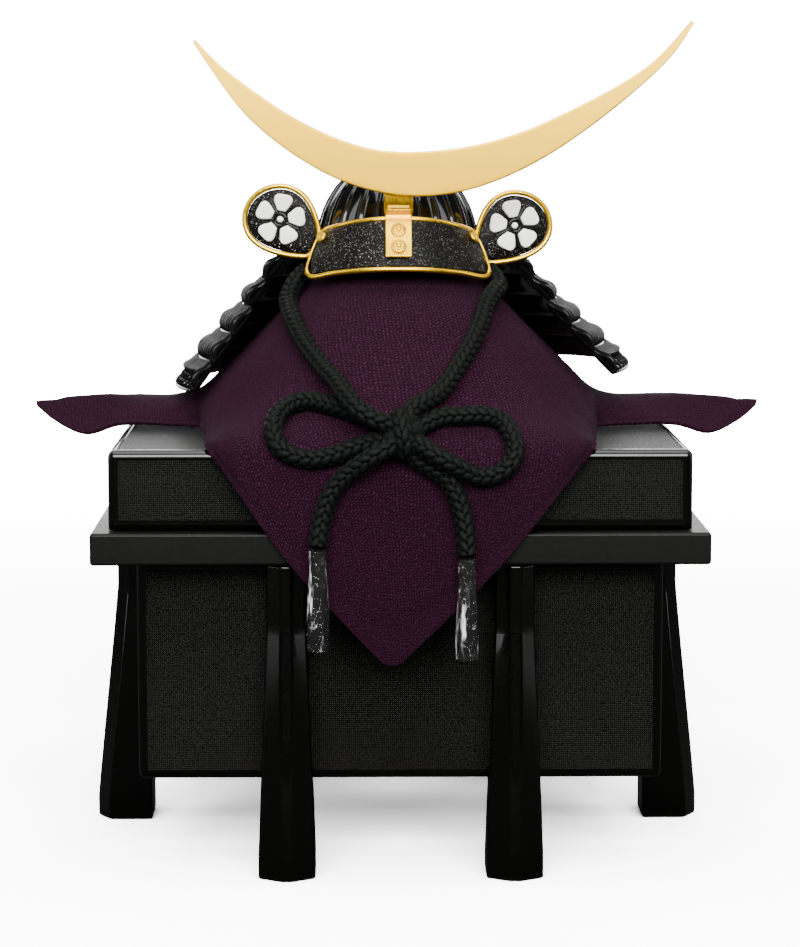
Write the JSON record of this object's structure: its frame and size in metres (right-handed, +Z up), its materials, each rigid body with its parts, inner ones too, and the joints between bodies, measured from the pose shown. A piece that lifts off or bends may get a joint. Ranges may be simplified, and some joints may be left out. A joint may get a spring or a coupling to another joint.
{
  "type": "kabuto samurai helmet with display chest and stand",
  "caption": "Small display kabuto samurai helmet with laced neck guard, crescent crest and chin cord bow, on a cloth-draped storage chest with splayed legs.",
  "frame": {"origin": "on the floor, under the middle of the chest's legs and cloth", "axes": "+Z up, the helmet faces -Y, +X is the viewer's right from the front"},
  "size_m": [0.3624, 0.2815, 0.3971],
  "materials": {
    "black_lacquer": "gloss",
    "pebbled_black": "pebbled gloss with fine sparkle",
    "gilt_metal": "polished gilt",
    "pale_gilt": "satin pale gilt",
    "white_enamel": "satin",
    "laced_black": "dense braid lacing over lacquered scales",
    "plum_crepe": "pebbly crepe",
    "black_braid": "plump braided cord",
    "clear_film": "clear",
    "woven_black": "black woven grid with glossy edge frame",
    "satin_black": "satin",
    "stand_wood": "plain turned wood"
  },
  "bodies": {
    "helmet_on_chest": {"bowl": "black_lacquer", "crown_ring": "gilt_metal", "visor": "pebbled_black", "visor_rim": "gilt_metal", "visor_stud_left": "gilt_metal", "visor_stud_right": "gilt_metal", "crest_holder": "gilt_metal", "rosette_upper": "gilt_metal", "rosette_lower": "gilt_metal", "turnback_left": "pebbled_black", "turnback_rim_left": "gilt_metal", "blossom_left": "white_enamel", "turnback_right": "pebbled_black", "turnback_rim_right": "gilt_metal", "blossom_right": "white_enamel", "stand": "stand_wood", "draped_cloth": "plum_crepe", "chest_lid": "woven_black", "chest_ledge": "satin_black", "chest_body": "woven_black", "neck_lame_1": "laced_black", "neck_lame_2": "laced_black", "neck_lame_3": "laced_black", "neck_lame_4": "laced_black", "neck_lame_5": "laced_black", "leg_front_left": "black_lacquer", "leg_front_right": "black_lacquer", "leg_back_left": "black_lacquer", "leg_back_right": "black_lacquer", "leg_side_left": "black_lacquer", "leg_side_right": "black_lacquer", "cord_lead_left": "black_braid", "cord_lead_right": "black_braid", "cord_loop_left": "black_braid", "cord_loop_right": "black_braid", "cord_tail_left": "black_braid", "cord_tail_right": "black_braid", "bow_knot": "black_braid", "tassel_left": "black_braid", "tassel_right": "black_braid", "film_sleeve_left": "clear_film", "film_sleeve_right": "clear_film"},
    "crest": {"crescent_crest": "pale_gilt"}
  },
  "joints": [
    {"name": "crest_lift", "type": "slide", "parent": "helmet_on_chest", "child": "crest", "axis": [0, 0, 1], "range_m": [0, 0.01]}
  ]
}
